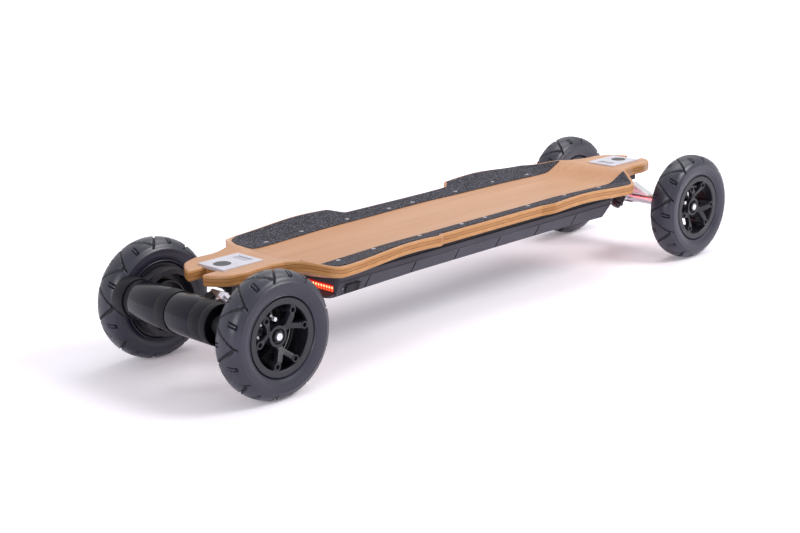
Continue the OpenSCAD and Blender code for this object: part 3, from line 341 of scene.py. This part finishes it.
def finished(name, sheet, body, finish, smooth=35, replaces=()):
    """Makes the piece's object, smooth up to the given angle, and puts it on its body."""
    data = bpy.data.meshes.new(name)
    sheet.to_mesh(data)
    sheet.free()
    data.materials.append(finish.material)
    data.polygons.foreach_set("use_smooth", [True] * len(data.polygons))
    data.set_sharp_from_angle(angle=math.radians(smooth))
    made = bpy.data.objects.new(name, data)
    bpy.context.collection.objects.link(made)
    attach(made, body)
    if replaces:
        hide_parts(*replaces)


bamboo = Finish("bamboo", Roughness=0.42, Specular_IOR_Level=0.35, Coat_Weight=0.08, Coat_Roughness=0.2)
place = bamboo.place()
x, y, z = bamboo.parts(place)
layers = bamboo.node("UVMap", {"uv_map": "layers"})
depth = bamboo.parts(layers)[1]
strip_width, core_depth, upper_glue, lower_glue = 0.0205, 0.0078, 0.0053, 0.0103
strip = (y / strip_width).floor()
tone = bamboo.random(strip)
fibre = bamboo.noise(bamboo.stretch(place, 5, 420, 300), 1.0, 4.0, 0.6)
cloud = bamboo.noise(bamboo.stretch(place, 2.4, 14, 14), 1.0, 2.0)
knuckle_line = (x * 3.1 + tone * 7.0) % 1.0
knuckle = bamboo.ramp(knuckle_line.distance(0.5), 0.012, 0.0) * (tone * 0.6 + 0.2)
light = bamboo.mix(bamboo.ramp(fibre, 0.3, 0.75), rgb(196, 150, 117), rgb(179, 130, 92))
light = bamboo.mix(bamboo.ramp(cloud, 0.42, 0.62) * 0.5, light, rgb(178, 122, 78))
light = bamboo.mix(tone * 0.16, light, rgb(160, 110, 74))
light = bamboo.mix(knuckle * 0.35, light, rgb(165, 118, 72))
edge_grain = bamboo.noise(bamboo.stretch(layers, 60, 900, 1), 1.0, 3.0)
edge_cloud = bamboo.noise(bamboo.stretch(layers, 9, 60, 1), 1.0, 2.0)
edge_wood = bamboo.mix(bamboo.ramp(edge_grain, 0.3, 0.7), rgb(202, 152, 98), rgb(174, 119, 64))
edge_wood = bamboo.mix(bamboo.ramp(edge_cloud, 0.4, 0.65) * 0.3, edge_wood, rgb(168, 108, 52))
core = bamboo.ramp(depth.distance(core_depth), 0.0026, 0.0022)
edge_wood = bamboo.mix(core * 0.4, edge_wood, rgb(134, 80, 38))
glue = (bamboo.ramp(depth.distance(upper_glue), 0.0006, 0.0002)
        + bamboo.ramp(depth.distance(lower_glue), 0.0006, 0.0002))
edge_wood = bamboo.mix(glue * 0.7, edge_wood, rgb(76, 42, 22))
on_edge = bamboo.ramp(depth, 0.0012, 0.0024) * bamboo.ramp(depth, 0.0163, 0.0158)
bamboo.set(Base_Color=bamboo.mix(on_edge, light, edge_wood), Normal=bamboo.bump(fibre, 0.00004, 0.5))

deck = cut_sheet(deck_corners)
thicken(deck, deck_thick, deck_rounding)
press(deck, 0.0)
finished("bamboo_deck", deck, "board", bamboo, replaces=["deck"])


# THE GRIP TAPES
# Two strips of coarse grit on cloth backing, stuck along the wings with a bead of
# bare wood left outside them. A few grains are painted pale, as painted glints.

tape_thick, tape_lift = 0.001, 0.00125

# Corners of the left tape in millimetres: along, across and the rounding's radius
left_tape = [(-359, 68.5, 1), (-330, 118.5, 33), (-300, 119.5, 40), (-136, 119.5, 10),
             (-116, 100.5, 9), (-40, 100, 90), (60, 99.5, 90), (111, 100.8, 3), (128, 116, 5),
             (200, 117, 80), (280, 116.3, 80), (326.5, 116, 33), (363, 68.5, 1), (250, 68, 100),
             (180, 67, 200), (30, 70.8, 200), (-180, 68.5, 200), (-290, 67.5, 100)]

grit = Finish("grip_grit", Roughness=0.9, Specular_IOR_Level=0.35)
place = grit.place()
grain = grit.node("TexVoronoi", values={"Vector": place, "Scale": 1500.0}, output="Color")
glint_chance = grit.parts(grain)[0]
patch = grit.noise(place, 45.0, 3.0)
dark = grit.mix(patch, rgb(31, 29, 35), rgb(48, 45, 53))
# A tenth of the grains are painted pale grey-blue in the base colour, as painted glints
grit.set(Base_Color=grit.mix((glint_chance > 0.9) * 0.75, dark, rgb(150, 150, 166)),
         Normal=grit.bump(grit.noise(place, 900.0, 2.0), 0.0004, 1.0))

for side, name in ((1, "left_grip_tape"), (-1, "right_grip_tape")):
    corners = left_tape if side > 0 else [(x, -y, r) for x, y, r in left_tape[::-1]]
    tape = cut_sheet(corners, 5)
    thicken(tape, tape_thick, 0)
    press(tape, tape_lift)
    finished(name, tape, "board", grit, replaces=["grip_tape"] if side > 0 else ())


# THE TOP PLATES
# One milled aluminium plate on the tail and one on the nose take the truck bolts.
# They are bead blasted to a soft grey, with a dark disc let in near the outer end.

def dress(finish, *names, bevel=0.0):
    """Gives carried-over nodes their finish, and eases their sharp edges."""
    for name in names:
        node = nodes[name]
        for slot in node.material_slots:
            slot.material = finish.material
        if bevel:
            weld = node.modifiers.new("weld", "WELD")
            weld.merge_threshold = 0.00001
            ease = node.modifiers.new("eased_edges", "BEVEL")
            ease.width = bevel
            ease.segments = 2
            ease.limit_method = "ANGLE"
            ease.angle_limit = math.radians(35)
            ease.harden_normals = False


plate = Finish("blasted_plate", Metallic=0.6, Roughness=0.4)
place = plate.place()
frost = plate.noise(place, 2600.0, 2.0)
smear = plate.noise(plate.stretch(place, 30, 60, 30), 1.0, 3.0)
x, y, z = plate.parts(place)
pocket_x, pocket_half_long, pocket_half_wide = 0.4035, 0.0066, 0.0151
# The shallow pocket near each plate's inner end is painted darker, as painted shade in the recess
along_pocket = x.distance(0.0).distance(pocket_x) < pocket_half_long
pocket_shade = along_pocket * (y.distance(0.0) < pocket_half_wide)
worn = plate.mix(smear, rgb(190, 188, 199), rgb(214, 213, 223))
plate.set(Base_Color=plate.mix(pocket_shade * 0.35, worn, rgb(120, 118, 126)),
          Normal=plate.bump(frost, 0.00006, 0.5))
dress(plate, "top_plates", bevel=0.0004)

disc = Finish("badge_disc", Roughness=0.45, Metallic=0.2)
place = disc.place()
disc.set(Base_Color=disc.mix(disc.noise(place, 700.0), rgb(44, 44, 50), rgb(62, 62, 68)))
dress(disc, "plate_badges", bevel=0.0003)


# THE SCREWS AND BOLTS
# Stainless screws hold the case through the deck, and zinc plated bolts hold the
# trucks. The rotors' shafts and pinions inside the motors are plain steel as well.

steel = Finish("plain_steel", Metallic=1.0)
place = steel.place()
scuff = steel.noise(place, 900.0, 3.0)
steel.set(Base_Color=steel.mix(scuff, rgb(176, 176, 184), rgb(214, 214, 220)),
          Roughness=steel.ramp(scuff, -0.6, 1.6) * 0.6)
dress(steel, "deck_screws", "truck_bolts", "left_rotor", "right_rotor")


# THE BATTERY CASE
# An injection moulded case in black, finely textured nylon hangs under the deck. It
# has slanted seams along its sides, and a soft gasket seals it to the wood. Inside
# it lie wrapped cells and a milled motor controller.

shell = Finish("case_nylon", Roughness=0.5, Specular_IOR_Level=0.2)
place = shell.place()
texture = shell.noise(place, 1400.0, 2.0)
wear = shell.noise(place, 22.0, 3.0)
x, y, z = shell.parts(place)
seam_lean, seam_shift, seam_gap, seam_half_share = 0.2905, 0.0491, 0.092, 0.0125
ledge_z, floor_half_width, last_seam_x = 0.1135, 0.0805, 0.26
# The slanted seams on the sides below the ledge are painted near black, as painted shade in their gaps
seam_place = ((x - z * seam_lean + seam_shift) / seam_gap) % 1.0
seam_shade = (seam_place.distance(0.5) < seam_half_share) * (z < ledge_z)
seam_shade = seam_shade * (y.distance(0.0) > floor_half_width) * (x < last_seam_x)
skin = shell.mix(wear, rgb(66, 65, 74), rgb(80, 79, 89))
shell.set(Base_Color=shell.mix(seam_shade * 0.9, skin, rgb(4, 4, 7)),
          Normal=shell.bump(texture, 0.00012, 0.6))
dress(shell, "case_shell", bevel=0.0008)

soft = Finish("soft_rubber", Roughness=0.75)
place = soft.place()
soft.set(Base_Color=soft.mix(soft.noise(place, 300.0), rgb(24, 24, 29), rgb(36, 36, 42)),
         Normal=soft.bump(soft.noise(place, 1800.0), 0.0001, 0.5))
dress(soft, "case_gasket", "riser_pads", "port_cap", "cable_glands", "base_bushings",
      "front_link_bushings", "rear_link_bushings")

wrap = Finish("cell_wrap", Roughness=0.3)
place = wrap.place()
wrap.set(Base_Color=wrap.mix(wrap.noise(place, 60.0), rgb(58, 116, 92), rgb(66, 128, 104)))
dress(wrap, "battery_cells")

milled = Finish("milled_metal", Metallic=1.0, Roughness=0.4)
place = milled.place()
lines = milled.noise(milled.stretch(place, 900, 40, 900), 1.0)
milled.set(Base_Color=milled.mix(lines, rgb(122, 122, 128), rgb(156, 156, 162)))
dress(milled, "motor_controller", "charge_port", "power_button")


# THE LAMPS
# A clear red lens with rows of small diodes behind it closes each end of the case.
# A thin lamp before each lens throws its red on the truck.

lens = Finish("lamp_lens", Roughness=0.18, Coat_Weight=0.5, Coat_Roughness=0.05, Emission_Strength=2.2)
place = lens.place()
x, y, z = lens.parts(place)
diode_gap, row_z, low_row_z, lens_z = 0.0056, 0.1056, 0.1012, 0.1045
diode = lens.ramp(((y / diode_gap) % 1.0).distance(0.5), 0.36, 0.12)
row = lens.ramp(z.distance(row_z), 0.0022, 0.0006)
low_row = lens.ramp(z.distance(low_row_z), 0.0016, 0.0004)
haze = lens.ramp(z.distance(lens_z), 0.0052, 0.0010)
colour = lens.mix(haze, rgb(96, 8, 8), rgb(214, 40, 26))
colour = lens.mix(low_row * diode * 0.6, colour, rgb(250, 120, 60))
colour = lens.mix(row * diode, colour, rgb(255, 214, 150))
lens.set(Base_Color=lens.mix(haze, rgb(110, 14, 12), rgb(200, 40, 26)), Emission_Color=colour)
dress(lens, "front_light", "rear_light")

glow_size, glow_spread = (0.14, 0.006), 80
lamp("front_glow", (0.312, 0, 0.108), (1, 0, 0.13), glow_size, 0.07, (1, 0.06, 0.08), glow_spread)
lamp("rear_glow", (-0.322, 0, 0.108), (-1, 0, 0.16), glow_size, 0.006, (1, 0.06, 0.06), glow_spread)


# THE TRUCKS
# Cast bases, pins and nuts are powder coated in black. The pivot links between them
# and the hangers that carry the axles are polished.

coat = Finish("powder_coat", Roughness=0.48)
place = coat.place()
peel = coat.noise(place, 700.0, 2.0)
coat.set(Base_Color=coat.mix(coat.noise(place, 40.0), rgb(20, 20, 25), rgb(32, 32, 39)),
         Normal=coat.bump(peel, 0.00012, 0.5))
dress(coat, "truck_bases", "base_kingpins", "front_link_kingpin", "rear_link_kingpin",
      "front_axle_nuts", "rear_axle_nuts", bevel=0.0006)

polished = Finish("polished_hanger", Metallic=1.0)
place = polished.place()
drawn = polished.noise(polished.stretch(place, 500, 30, 500), 1.0, 3.0)
polished.set(Base_Color=polished.mix(drawn, rgb(204, 204, 210), rgb(228, 228, 233)),
             Roughness=drawn * 0.14 + 0.24)
dress(polished, "front_hanger", "rear_hanger", "front_pivot_link", "rear_pivot_link", bevel=0.0005)


# THE TYRES
# Air tyres with a zig-zag road tread: a deep groove runs from shoulder to shoulder
# and back, and each of the blocks between has a hooked sipe. The rubber is moulded,
# with two raised lines round each sidewall.

axle_x, half_track, tyre_r = 0.4632, 0.1313, 0.0875
tread_periods, steps_per_period = 9, 66
tread_period = 2 * math.pi / tread_periods
groove_deep, groove_lip, groove_slope = 0.003, 0.0005, 0.0007
sink_inwards, sink_sideways, shoulder_fade = 0.8, 0.6, 0.0015

# Half of the section, as distance from the axle and from the tyre's middle
crown = [(0.0875, 0.0), (0.08745, 0.003), (0.08715, 0.006), (0.0866, 0.009), (0.08575, 0.012),
         (0.0844, 0.015), (0.0824, 0.0178), (0.0797, 0.0203), (0.0768, 0.0218)]
sidewall = [(0.0742, 0.02285), (0.0737, 0.0233), (0.0731, 0.0233), (0.0725, 0.0231), (0.0700, 0.02345),
            (0.0672, 0.02325), (0.0644, 0.02275), (0.0618, 0.0220), (0.0594, 0.0210), (0.0578, 0.0202),
            (0.0572, 0.0199), (0.0567, 0.0203), (0.0561, 0.0203), (0.0557, 0.0198), (0.0552, 0.0186),
            (0.0546, 0.0170), (0.0537, 0.0164), (0.0500, 0.0164), (0.0497, 0.0120)]


def smooth_line(points, count):
    """Points spread evenly along a smooth line through the given ones."""
    points = np.array(points)
    reach = np.concatenate(([0], np.cumsum(np.linalg.norm(np.diff(points, axis=0), axis=1))))
    slope = np.gradient(points, reach, axis=0)
    at = np.linspace(0, reach[-1], count)
    k = np.clip(np.searchsorted(reach, at, side="right") - 1, 0, len(points) - 2)
    span = (reach[k + 1] - reach[k])[:, None]
    t = ((at - reach[k]) / span[:, 0])[:, None]
    return ((2 * t**3 - 3 * t**2 + 1) * points[k] + (t**3 - 2 * t**2 + t) * span * slope[k]
            + (3 * t**2 - 2 * t**3) * points[k + 1] + (t**3 - t**2) * span * slope[k + 1])


tread_half = smooth_line(crown, 26)
tread_reach = np.concatenate(([0], np.cumsum(np.linalg.norm(np.diff(tread_half, axis=0), axis=1))))
shoulder = tread_reach[-1]
shoulder_r, shoulder_y = tread_half[-1]
pitch = tread_period * tyre_r

# Grooves of one period as lines from point to point, with their half widths: along
# the tread in periods, across it in shares of the shoulder's distance
grooves = [((0, 0.80), (0.5, -0.80), 0.0011), ((0.5, -0.80), (1, 0.80), 0.0011),
           ((0, 0.80), (-0.06, 1.0), 0.001), ((0.5, -0.80), (0.56, -1.0), 0.001),
           ((0.07, 0.72), (0.23, 0.14), 0.0007), ((0.57, -0.72), (0.73, -0.14), 0.0007),
           ((0.43, 0.28), (0.47, 0.78), 0.0007), ((0.47, 0.78), (0.55, 0.78), 0.0007),
           ((0.55, 0.78), (0.51, 0.28), 0.0007),
           ((0.93, -0.28), (0.97, -0.78), 0.0007), ((0.97, -0.78), (1.05, -0.78), 0.0007),
           ((1.05, -0.78), (1.01, -0.28), 0.0007)]


def groove_depth(along, over):
    """How far the tread is sunk at each point, from 0 on a block to 1 in a groove."""
    deepest = np.zeros_like(along)
    for (a0, b0), (a1, b1), half_width in grooves:
        for shift in (-1, 0, 1):
            start = np.array([(a0 + shift) * pitch, b0 * shoulder])
            run = np.array([(a1 + shift) * pitch, b1 * shoulder]) - start
            t = np.clip(((along - start[0]) * run[0] + (over - start[1]) * run[1]) / (run @ run), 0, 1)
            away = np.hypot(along - start[0] - t * run[0], over - start[1] - t * run[1])
            sunk = np.clip((half_width + groove_lip - away) / groove_slope, 0, 1)
            deepest = np.maximum(deepest, sunk)
    return deepest


def tyre_mesh():
    """A tyre about the Y axis, spun from its section, with the tread sunk into it."""
    half = [Vector((r, y, 0)) for r, y in [*tread_half, *sidewall]]
    section = [Vector((v.x, -v.y, 0)) for v in half[:0:-1]] + half
    tyre = bmesh.new()
    verts = [tyre.verts.new(v) for v in section]
    line = [tyre.edges.new(pair) for pair in zip(verts, verts[1:])]
    line.append(tyre.edges.new((verts[-1], verts[0])))
    bmesh.ops.spin(tyre, geom=verts + line, cent=(0, 0, 0), axis=(0, 1, 0), angle=2 * math.pi,
                   steps=tread_periods * steps_per_period, use_merge=True)
    bmesh.ops.recalc_face_normals(tyre, faces=tyre.faces)
    tyre.verts.ensure_lookup_table()
    co = np.array([v.co for v in tyre.verts])
    radius = np.hypot(co[:, 0], co[:, 2])
    angle = np.arctan2(co[:, 2], co[:, 0])
    on_tread = radius > shoulder_r - 1e-5
    over = np.interp(np.abs(co[:, 1]), tread_half[:, 1], tread_reach) * np.sign(co[:, 1])
    along = (angle % tread_period) / tread_period * pitch
    fade = np.clip((radius - shoulder_r) / shoulder_fade, 0, 1)
    sunk = np.where(on_tread, groove_depth(along, over), 0) * fade
    groove = tyre.verts.layers.float.new("groove")
    for vert, s, r in zip(tyre.verts, sunk, radius):
        vert[groove] = float(s)
        if s:
            x, y, z = vert.co
            lean = Vector((x / r * sink_inwards, y / shoulder_y * sink_sideways, z / r * sink_inwards))
            vert.co -= lean * float(s) * groove_deep
    return tyre


tyre_rubber = Finish("tyre_rubber", Specular_IOR_Level=0.5)
place = tyre_rubber.place()
# The groove depth stored on the tyre paints the grooves near black, as painted shade in them, and makes
# them rougher
groove = tyre_rubber.node("Attribute", {"attribute_name": "groove"}, output=2)
bloom = tyre_rubber.noise(place, 26.0, 4.0)
pores = tyre_rubber.noise(place, 1500.0, 2.0)
skin = tyre_rubber.mix(bloom, rgb(28, 28, 41), rgb(44, 44, 61))
tyre_rubber.set(Base_Color=tyre_rubber.mix(groove * 0.7, skin, rgb(6, 6, 8)),
                Roughness=bloom * 0.16 + 0.25 + groove * 0.3,
                Normal=tyre_rubber.bump(pores, 0.00006, 0.5))

# How far each tyre is turned on its rim, in degrees
wheel_turns = {"fl": 20, "fr": 99.9, "rl": 75, "rr": 36.9}
first_tyre = tyre_mesh()
for corner, turned in wheel_turns.items():
    tyre = first_tyre.copy()
    ahead = 1 if corner[0] == "f" else -1
    side = 1 if corner[1] == "l" else -1
    spin = Matrix.Rotation(math.radians(-turned), 4, "Y")
    where = Matrix.Translation((ahead * axle_x, side * half_track, tyre_r))
    bmesh.ops.transform(tyre, matrix=where @ spin, verts=tyre.verts)
    finished(corner + "_air_tyre", tyre, corner + "_wheel", tyre_rubber, smooth=50,
             replaces=[corner + "_tyre"])
first_tyre.free()


# THE RIMS AND THE TUBES
# Each rim is two halves of glass filled nylon with three forked spokes, screwed
# together round the tyre's beads. The tube's bent valve comes out between them, and
# black washers and screws close the hub.

rim_nylon = Finish("rim_nylon", Roughness=0.42)
place = rim_nylon.place()
flow = rim_nylon.noise(place, 30.0, 3.0)
rim_nylon.set(Base_Color=rim_nylon.mix(flow, rgb(20, 20, 27), rgb(32, 32, 41)),
              Normal=rim_nylon.bump(rim_nylon.noise(place, 1600.0), 0.00006, 0.5))

# The tube is soft rubber, and only its valve, near the axle, is bare metal
tube = Finish("tube_rubber", Roughness=0.4)
x, y, z = tube.parts(tube.place())
valve_reach = 0.0295
along, up = x.distance(0.0) - axle_x, z - tyre_r
valve = (along * along + up * up).power(0.5) < valve_reach
tube.set(Base_Color=tube.mix(valve, rgb(30, 30, 35), rgb(206, 206, 212)), Metallic=valve)

for corner in wheel_turns:
    dress(rim_nylon, corner + "_rim_outer", corner + "_rim_inner", bevel=0.0005)
    dress(tube, corner + "_tube")
    dress(coat, corner + "_hardware")


# THE MOTORS AND THE DRIVE
# Two long cans with a satin black skin meet in a clamp behind the tail. Matt mounts
# hold them to the hanger, and toothed belts run to the gears on the rear wheels.

can_skin = Finish("can_skin", Specular_IOR_Level=0.3, Specular_Tint=(0.86, 0.84, 1.0, 1))
place = can_skin.place()
haze = can_skin.noise(can_skin.stretch(place, 600, 20, 600), 1.0, 2.0)
can_skin.set(Base_Color=can_skin.mix(haze, rgb(6, 6, 14), rgb(11, 11, 24)),
             Roughness=haze * 0.06 + 0.15)
dress(can_skin, "left_motor_can", "right_motor_can", bevel=0.0008)

matt = Finish("matt_black", Roughness=0.5, Specular_IOR_Level=0.2)
place = matt.place()
matt.set(Base_Color=matt.mix(matt.noise(place, 35.0, 3.0), rgb(8, 8, 15), rgb(14, 14, 23)),
         Normal=matt.bump(matt.noise(place, 1500.0), 0.00008, 0.5))
dress(matt, "motor_clamp", "motor_mounts", "belt_covers", bevel=0.0005)
dress(rim_nylon, "left_wheel_gear", "right_wheel_gear", bevel=0.0005)

belt = Finish("belt_rubber", Roughness=0.6)
place = belt.place()
x, y, z = belt.parts(place)
cord_gap = 0.0012
cord = (y / cord_gap) % 1.0
belt.set(Base_Color=belt.mix(cord, rgb(22, 22, 26), rgb(34, 34, 39)),
         Normal=belt.bump(cord.distance(0.5), 0.0001, 0.6))
dress(belt, "drive_belts")
